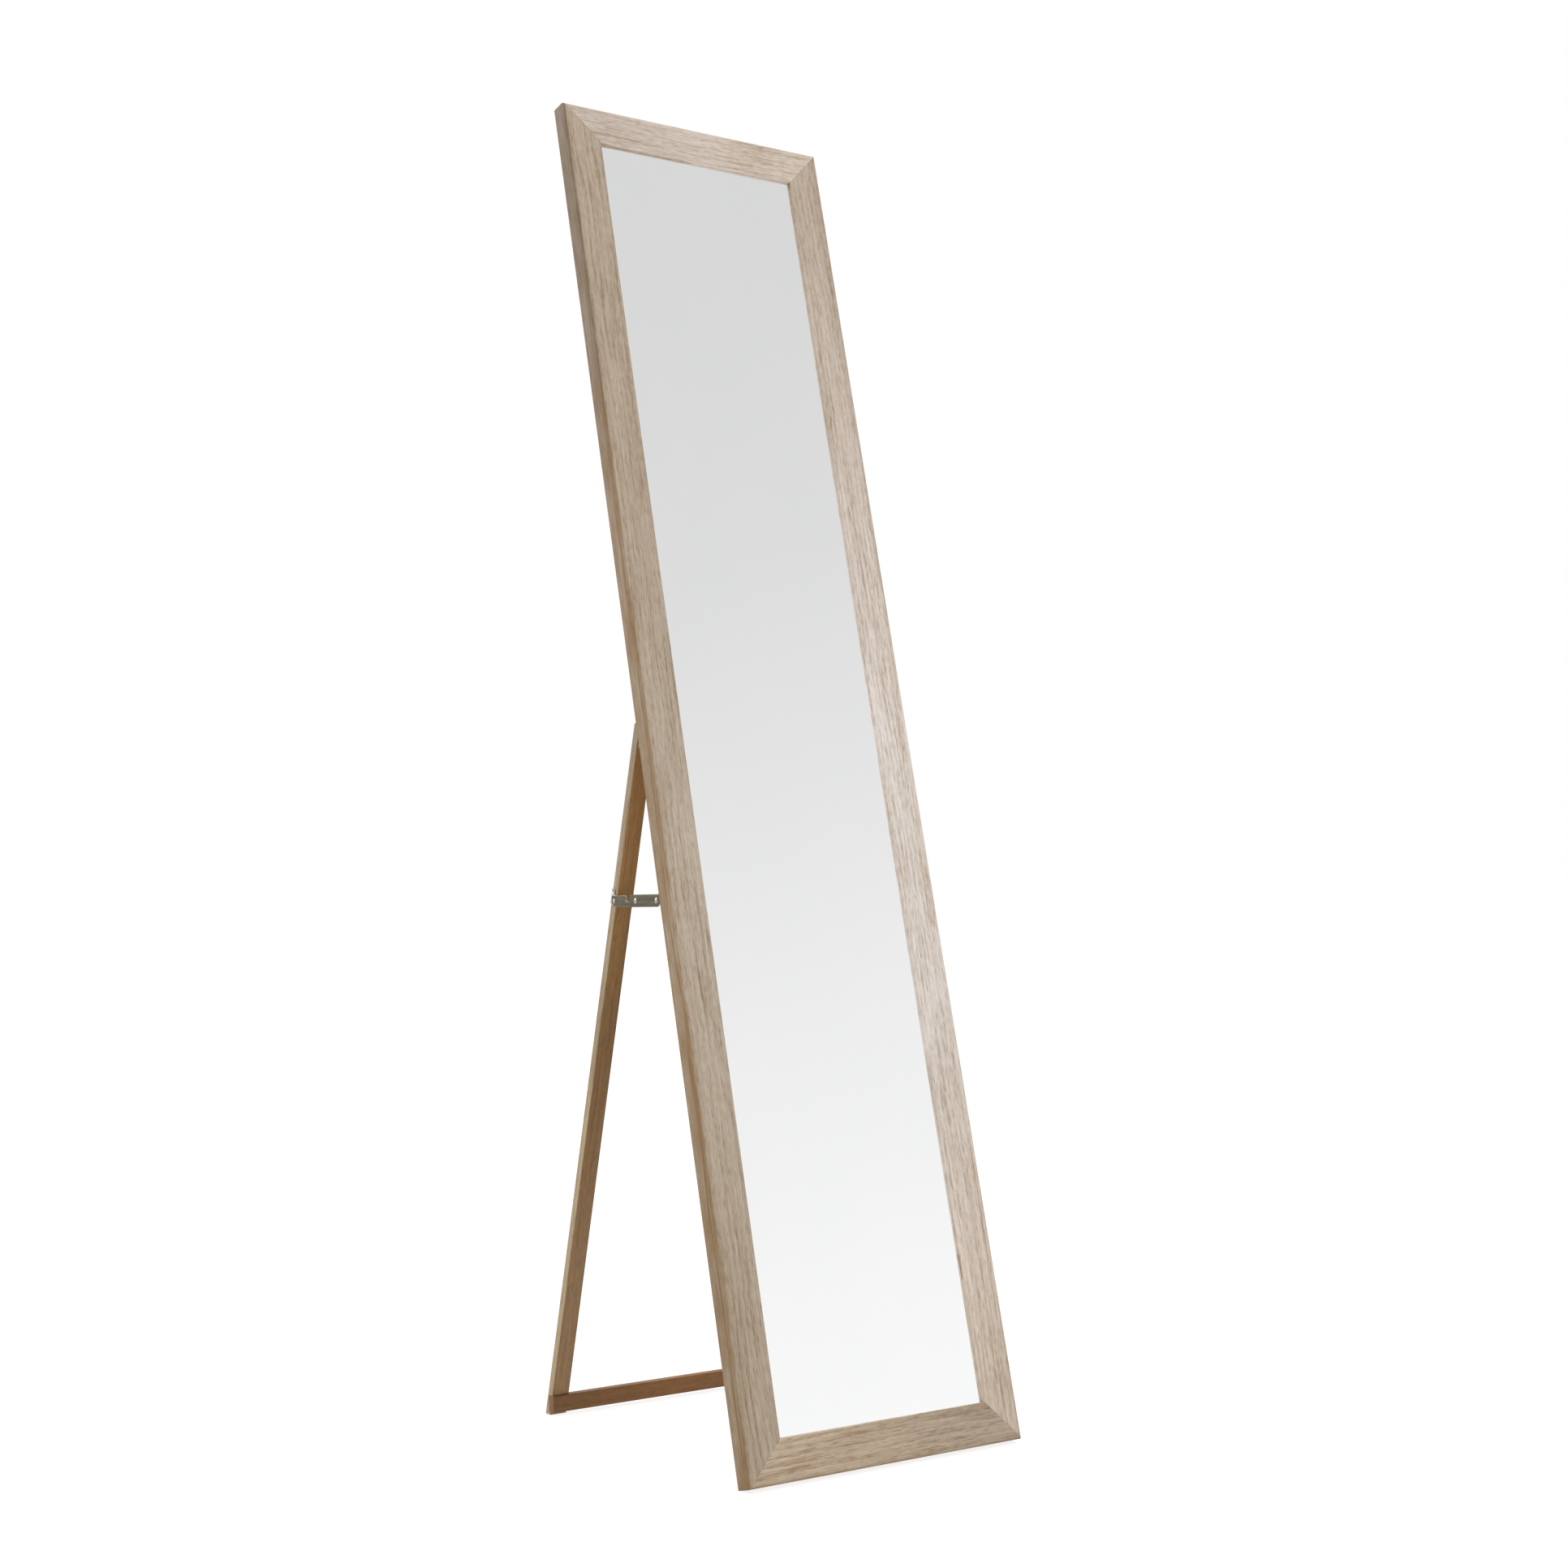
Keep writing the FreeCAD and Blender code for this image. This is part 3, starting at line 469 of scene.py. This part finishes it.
def soften_edges(bm, width, segments=2, least_angle=50):
    """Rounds every edge that is sharper than the angle."""
    sharp = [edge for edge in bm.edges if len(edge.link_faces) == 2
             and math.degrees(edge.calc_face_angle(0)) > least_angle]
    bmesh.ops.bevel(bm, geom=sharp, offset=width, segments=segments, profile=0.5,
                    affect="EDGES", clamp_overlap=True)


def ring_of(bm, radius, z, steps):
    """Vertices evenly round the Z axis; a single one where the radius is nothing."""
    if radius == 0:
        return [bm.verts.new((0, 0, z))]
    return [bm.verts.new((radius * math.cos(math.tau * i / steps),
                          radius * math.sin(math.tau * i / steps), z)) for i in range(steps)]


def bridge(bm, first, second):
    """Faces between two rings, either of which may be a single vertex."""
    count = max(len(first), len(second))
    for i in range(count):
        following = (i + 1) % count
        corners = [first[i % len(first)], first[following % len(first)],
                   second[following % len(second)], second[i % len(second)]]
        bm.faces.new(list(dict.fromkeys(corners)))


def lathe(bm, profile, steps=28):
    """Turns a profile of (radius, z) points round the Z axis."""
    rings = [ring_of(bm, radius, z, steps) for radius, z in profile]
    for first, second in zip(rings, rings[1:]):
        bridge(bm, first, second)


def dome(radius, height, z=0.0, steps=6):
    """The profile of a spherical cap, from its top down to its rim at z."""
    sphere = (radius ** 2 + height ** 2) / (2 * height)
    edge = math.asin(radius / sphere)
    return [(sphere * math.sin(edge * i / steps),
             z + height - sphere * (1 - math.cos(edge * i / steps))) for i in range(steps + 1)]


def add_part(target, matrix, part):
    """Moves a part into place and adds it to a larger mesh."""
    bmesh.ops.transform(part, matrix=matrix, verts=part.verts)
    mesh = bpy.data.meshes.new("part")
    part.to_mesh(mesh)
    part.free()
    target.from_mesh(mesh)
    bpy.data.meshes.remove(mesh)


# ---------------------------------------------------------------- places taken from the frame


def centre(node):
    """The middle of a CAD node's box."""
    low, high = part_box(node)
    return (low + high) / 2


resting_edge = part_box("left_stile")[1].y - FRAME_HEIGHT * math.sin(LEAN)
frame_axes = Matrix.Translation((0, resting_edge, 0)) @ turn("X", -LEAN)
hinge = centre("left_hinge_pin")
leg_axes = Matrix.Translation((0, hinge.y, hinge.z)) @ turn("X", LEG_SLOPE)
ALONG_X = turn("Y", math.pi / 2)

# ---------------------------------------------------------------- frame members


def arc(centre_x, centre_y, radius, start, end, steps):
    """Points on an arc, from one angle to another, in degrees."""
    points = []
    for i in range(steps + 1):
        angle = math.radians(start + (end - start) * i / steps)
        points.append((centre_x + radius * math.cos(angle), centre_y + radius * math.sin(angle)))
    return points


def moulding_profile(inset):
    """The member's section, shrunk by the inset: X from the outer edge, Y from the back."""
    outer, sight, edge, back = 5 * MM, 1.5 * MM, 0.6 * MM, 0.4 * MM
    left, right = inset, FACE_WIDTH - inset
    rebate = FACE_WIDTH - REBATE_WIDTH - inset
    front, rear = inset - FRAME_DEPTH, -inset
    lip = LIP_THICKNESS - FRAME_DEPTH - inset
    points = arc(left + outer, front + outer, outer, 180, 270, 10)
    points += arc(right - sight, front + sight, sight, -90, 0, 5)
    points += arc(right - back, lip - back, back, 0, 90, 2)
    points += [(rebate, lip)]
    points += arc(rebate - edge, rear - edge, edge, 0, 90, 3)
    points += arc(left + edge, rear - edge, edge, 90, 180, 3)
    return points


def mitred_member(name, length, placement, material):
    """Four rings of the section: the inner two whole, the outer two drawn in at the mitres."""
    groove_depth, groove_half, end_gap = 0.15 * MM, 0.2 * MM, 0.02 * MM
    rings = []
    bm = bmesh.new()
    for inset, setback, at_start in ((groove_depth, end_gap, True), (0, groove_half, True),
                                     (0, groove_half, False), (groove_depth, end_gap, False)):
        ring = []
        for x, y in moulding_profile(inset):
            z = x + setback if at_start else length - x - setback
            ring.append(bm.verts.new((x, y, z)))
        rings.append(ring)
    for first, second in zip(rings, rings[1:]):
        for i in range(len(first)):
            following = (i + 1) % len(first)
            bm.faces.new((first[i], first[following], second[following], second[i]))
    bm.faces.new(rings[0])
    bm.faces.new(rings[-1])
    finished_object(f"{name}_board", bm, frame_axes @ placement, material, "mirror",
                    [name])


def frame_boards():
    """The four mitred members, each built along Z and then turned into its place."""
    half = FRAME_WIDTH / 2
    left = Matrix.Translation((-half, 0, 0))
    right = Matrix.Translation((half, 0, 0))
    up = Matrix.Translation((0, 0, FRAME_HEIGHT))
    tone = srgb(144, 129, 110)
    # The stiles carry painted light around their middles, the right one much more.
    mitred_member("left_stile", FRAME_HEIGHT, left,
                  oak("left_stile_oak", tone, 1, 1.4,
                      shade=painted_light_middle(0.62, 0.5, 0.22, stain_and_painted_shade(tone))))
    tone = srgb(152, 137, 121)
    mitred_member("right_stile", FRAME_HEIGHT, right @ up @ turn("Y", math.pi),
                  oak("right_stile_oak", tone, 2, 1.4,
                      shade=toned_along(1.2, 1.0, 1.45, 1.18,
                                        painted_light_middle(0.9, 0.9, 0.87, stain_and_painted_shade(tone)))))
    tone = srgb(163, 151, 139)
    mitred_member("top_rail", FRAME_WIDTH, left @ up @ turn("Y", math.pi / 2),
                  oak("top_rail_oak", tone, 3, 1.3,
                      shade=toned_along(0.08, 1.0, 0.3, 1.14, stain_and_painted_shade(tone))))
    tone = srgb(149, 132, 112)
    mitred_member("bottom_rail", FRAME_WIDTH, right @ turn("Y", -math.pi / 2),
                  oak("bottom_rail_oak", tone, 4, 1.4,
                      shade=toned_along(0.06, 0.9, 0.3, 1.15, stain_and_painted_shade(tone))))


frame_boards()

# ---------------------------------------------------------------- glass, backing, points, nails


def carried_over(node, material):
    """A CAD node whose shape is right as it is: only its finish changes."""
    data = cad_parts[node].data
    data.materials.clear()
    data.materials.append(material)


GLASS = silvered_glass()
BOARD = hardboard()
PLATED = steel("bright_zinc", srgb(150, 147, 138), srgb(186, 183, 174), 0.3, 3)
LINK = steel("dull_zinc", srgb(72, 68, 58), srgb(103, 98, 85), 0.42, 5, 1500.0, 0.8)
HINGE = steel("hinge_zinc", srgb(140, 136, 126), srgb(170, 166, 155), 0.34, 7)
# Painted highlight: the broken edges of stampings take this brighter steel.
RIM_HIGHLIGHT = steel("edge_highlight", srgb(190, 186, 172), srgb(214, 210, 197), 0.3, 9)
RIVET = steel("rivet_steel", srgb(150, 140, 116), srgb(176, 168, 144), 0.1, 11)

carried_over("mirror_glass", GLASS)


def backing_board():
    bm = clean_copy("backing_board", frame_axes)
    soften_edges(bm, 0.5 * MM)
    finished_object("hardboard_back", bm, frame_axes, BOARD, "mirror",
                    ["backing_board"])


backing_board()
carried_over("backing_points", PLATED)
carried_over("corner_v_nails", PLATED)

# ---------------------------------------------------------------- legs and cross bar


def painted_side_sheen(finish, colour):
    """The sides of a leg are paler than its front and back, with a painted sheen, and darker
    towards the hinge, with painted shade.
    """
    normal = finish.add("ShaderNodeNewGeometry").outputs["Normal"]
    local = finish.add("ShaderNodeVectorTransform", {"Vector": normal}, vector_type="NORMAL",
                       convert_from="WORLD", convert_to="OBJECT").outputs["Vector"]
    across = finish.add("ShaderNodeSeparateXYZ", {"Vector": local}).outputs["X"]
    amount = finish.rescaled(finish.math("ABSOLUTE", across), 0.75, 0.97)
    along = finish.add("ShaderNodeSeparateXYZ", {"Vector": finish.point}).outputs["Z"]
    painted_lit = finish.mix(1.0, colour, LEG_SIDE_SHEEN, "MULTIPLY")
    # Painted shade: the sheen fades and the sides darken towards the hinge, under the frame.
    painted_lit = finish.scaled(painted_lit, finish.rescaled(along, -0.48, -0.11, 1.3, 0.6))
    return finish.mix(amount, colour, painted_lit)


def legs_and_bar():
    for side, seed in (("left", 6), ("right", 8)):
        # Painted light: each leg is made lighter towards the hinge, where the frame shades its
        # front.
        leg_wood = oak(f"{side}_leg_stain_and_painted_light", srgb(129, 98, 59), seed, 1.1, 0.5,
                       toned_along(-0.36, 0.95, -0.14, 1.45, painted_side_sheen))
        bm = clean_copy(f"{side}_leg", leg_axes)
        soften_edges(bm, WOOD_EDGE)
        finished_object(f"{side}_rear_leg", bm, leg_axes, leg_wood, "leg_frame",
                        [f"{side}_leg"])
    bar_axes = Matrix.Translation(centre("leg_cross_bar")) @ ALONG_X
    bm = clean_copy("leg_cross_bar", bar_axes)
    soften_edges(bm, WOOD_EDGE)
    bar_wood = oak("cross_bar_stain", srgb(115, 75, 27), 9, 1.2, 0.5,
                   toned_along(-0.17, 0.75, -0.02, 1.08))
    finished_object("foot_cross_bar", bm, bar_axes, bar_wood, "leg_frame",
                    ["leg_cross_bar"])


legs_and_bar()

# ---------------------------------------------------------------- steel parts


def pressed_part(node, name, axes, body, face, is_rim, width=0.2 * MM):
    """A stamping: the CAD shape with its sheared edges broken and given a brighter steel, a
    painted highlight.
    """
    bm = clean_copy(node, axes)
    soften_edges(bm, width)
    for part in bm.faces:
        part.normal_update()
        part.material_index = 1 if is_rim(part.normal) else 0
    piece = finished_object(name, bm, axes, face, body, [node])
    piece.data.materials.append(RIM_HIGHLIGHT)


def flat_rim(normal):
    """The rim of a flat part that lies across X."""
    return abs(normal.x) < 0.95


def angle_rim(normal):
    """The upper and lower rims of an angle bracket."""
    return abs(normal.z) > 0.5


def leaf_rim(normal):
    """The side rims of a hinge leaf and the ends of its knuckles."""
    return abs(normal.x) > 0.5


def steel_parts():
    """The links, brackets, washers and hinge leaves of both sides."""
    for side in SIDES:
        stay_axes = Matrix.Translation(centre(f"{side}_frame_rivet")) @ turn("X", -math.pi / 2)
        for link in ("front", "rear"):
            pressed_part(f"{side}_{link}_link", f"{side}_stay_{link}_link", stay_axes,
                         f"{side}_stay_{link}", LINK, flat_rim, 0.35 * MM)
        pressed_part(f"{side}_frame_bracket", f"{side}_stay_frame_bracket", frame_axes, "mirror",
                     LINK, angle_rim)
        pressed_part(f"{side}_leg_bracket", f"{side}_stay_leg_plate", leg_axes, "leg_frame",
                     PLATED, flat_rim)
        pressed_part(f"{side}_hinge_frame_leaf", f"{side}_hinge_upper_leaf", frame_axes,
                     "mirror", HINGE, leaf_rim, 0.15 * MM)
        pressed_part(f"{side}_hinge_leg_leaf", f"{side}_hinge_lower_leaf", leg_axes,
                     "leg_frame", HINGE, leaf_rim, 0.15 * MM)
        pressed_part(f"{side}_middle_washer", f"{side}_stay_washer", stay_axes,
                     f"{side}_stay_front", PLATED, flat_rim, 0.1 * MM)


def domed_rivet(side, joint, body):
    """A rivet with a domed head on the outer side, and a flat tail if the CAD one has it."""
    node = f"{side}_{joint}_rivet"
    low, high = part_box(node)
    length = high.x - low.x
    (head, height), shank, tail = RIVET_DOMES[joint], RIVET_RADIUS, RIVET_TAIL_RADIUS
    packed_height = LOW_HEAD if joint == "leg" else height
    bottom = packed_height - length
    profile = dome(head, 0.9 * height, 0.1 * height)
    profile += [(head, 0), (shank, 0)]
    if joint == "leg":
        profile += [(shank, bottom), (0, bottom)]
    else:
        profile += [(shank, bottom + RIVET_TAIL), (tail, bottom + RIVET_TAIL)]
        profile += [(0.8 * tail, bottom), (0, bottom)]
    head_x = high.x - packed_height if SIDES[side] > 0 else low.x + packed_height
    axes = Matrix.Translation((head_x, centre(node).y, centre(node).z))
    axes = axes @ turn("Y", SIDES[side] * math.pi / 2)
    bm = bmesh.new()
    lathe(bm, profile)
    finished_object(f"{side}_{joint}_domed_rivet", bm, axes, RIVET, body,
                    [node])


def hinge_pin(side):
    """A pin whose slightly domed ends show at both ends of the knuckles."""
    low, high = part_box(f"{side}_hinge_pin")
    half, radius = (high.x - low.x) / 2, (high.z - low.z) / 2
    profile = [(r, z + half) for r, z in dome(0.8 * radius, 0.2 * MM)]
    profile += [(radius, half), (radius, -half)]
    profile += [(r, -z - half) for r, z in reversed(dome(0.8 * radius, 0.2 * MM))]
    bm = bmesh.new()
    lathe(bm, profile)
    axes = Matrix.Translation(centre(f"{side}_hinge_pin")) @ ALONG_X
    finished_object(f"{side}_hinge_pin_rod", bm, axes, PLATED, "mirror",
                    [f"{side}_hinge_pin"])


# ---------------------------------------------------------------- screws


def solids_of(node, axes):
    """The separate solids of a CAD node, each as its vertices' places in the axes."""
    bm = bmesh.new()
    bm.from_mesh(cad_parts[node].data)
    bmesh.ops.transform(bm, matrix=axes.inverted(), verts=bm.verts)
    bmesh.ops.remove_doubles(bm, verts=bm.verts, dist=0.002 * MM)
    left = set(bm.verts)
    found = []
    while left:
        waiting = [left.pop()]
        solid = []
        while waiting:
            vertex = waiting.pop()
            solid.append(vertex.co.copy())
            for edge in vertex.link_edges:
                other = edge.other_vert(vertex)
                if other in left:
                    left.remove(other)
                    waiting.append(other)
        found.append(solid)
    bm.free()
    return sorted(found, key=lambda solid: [round(value, 5) for value in solid_middle(solid)])


def solid_middle(solid):
    """The middle of a solid's box, as a list of three values."""
    return [(min(co[i] for co in solid) + max(co[i] for co in solid)) / 2 for i in range(3)]


def screw_places(node, axes):
    """Each screw's (matrix, length): origin at its head's middle, Z going into the wood."""
    places = []
    for solid in solids_of(node, axes):
        spans = [max(co[i] for co in solid) - min(co[i] for co in solid) for i in range(3)]
        along = spans.index(max(spans))
        middle = Vector(solid_middle(solid))

        def reach(end):
            ring = [co for co in solid if abs(co[along] - end) < 0.05 * MM]
            return max((co - middle).length for co in ring)

        low, high = min(co[along] for co in solid), max(co[along] for co in solid)
        head = low if reach(low) > reach(high) else high
        direction = Vector((0, 0, 0))
        direction[along] = 1 if head == low else -1
        middle[along] = head
        turned = direction.to_track_quat("Z", "Y").to_matrix().to_4x4()
        places.append((Matrix.Translation(middle) @ turned, spans[along]))
    return places


def cross_outline(half_length, half_width):
    """The twelve corners of a cross, anticlockwise."""
    quarter = [(half_length, -half_width), (half_length, half_width), (half_width, half_width)]
    corners = []
    for i in range(4):
        spin = Matrix.Rotation(math.pi / 2 * i, 2)
        corners += [spin @ Vector(corner) for corner in quarter]
    return corners


def crosshead_screw(length):
    """A countersunk screw along Z with a real cross recess, its head flush at Z = 0."""
    steps = 32
    mouth, floor = (1.3 * MM, 0.32 * MM), (0.65 * MM, 0.22 * MM)
    bm = bmesh.new()
    rim = ring_of(bm, SCREW_HEAD_RADIUS, 0, steps)
    recess_top = [bm.verts.new((co.x, co.y, 0)) for co in cross_outline(*mouth)]
    recess_bottom = [bm.verts.new((co.x, co.y, RECESS_DEPTH)) for co in cross_outline(*floor)]
    loops = []
    for ring in (rim, recess_top):
        loops += [bm.edges.new((ring[i], ring[(i + 1) % len(ring)])) for i in range(len(ring))]
    bmesh.ops.triangle_fill(bm, use_beauty=True, edges=loops)
    bridge(bm, recess_top, recess_bottom)
    bm.faces.new(recess_bottom)
    side = [(SCREW_HEAD_RADIUS, 0.15 * MM), (SCREW_RADIUS, SCREW_HEAD_HEIGHT),
            (SCREW_RADIUS, length - 2 * MM), (0.2 * MM, length - 0.1 * MM), (0, length)]
    rings = [rim] + [ring_of(bm, radius, z, steps) for radius, z in side]
    for first, second in zip(rings, rings[1:]):
        bridge(bm, first, second)
    return bm


def screw_sets():
    """Every set of screws, each screw turned to a different angle about its own axis."""
    first_angle, step = 11, 37
    for node, axes, body in (("hinge_frame_screws", frame_axes, "mirror"),
                             ("frame_bracket_screws", frame_axes, "mirror"),
                             ("hinge_leg_screws", leg_axes, "leg_frame"),
                             ("leg_bracket_screws", leg_axes, "leg_frame"),
                             ("cross_bar_screws", leg_axes, "leg_frame")):
        bm = bmesh.new()
        for i, (place, length) in enumerate(screw_places(node, axes)):
            spin = turn("Z", math.radians(first_angle + step * i))
            add_part(bm, place @ spin, crosshead_screw(length))
        finished_object(f"{node}_crosshead", bm, axes, PLATED, body, [node])


steel_parts()
for side in SIDES:
    domed_rivet(side, "frame", "mirror")
    domed_rivet(side, "middle", f"{side}_stay_front")
    domed_rivet(side, "leg", f"{side}_stay_rear")
    hinge_pin(side)
screw_sets()
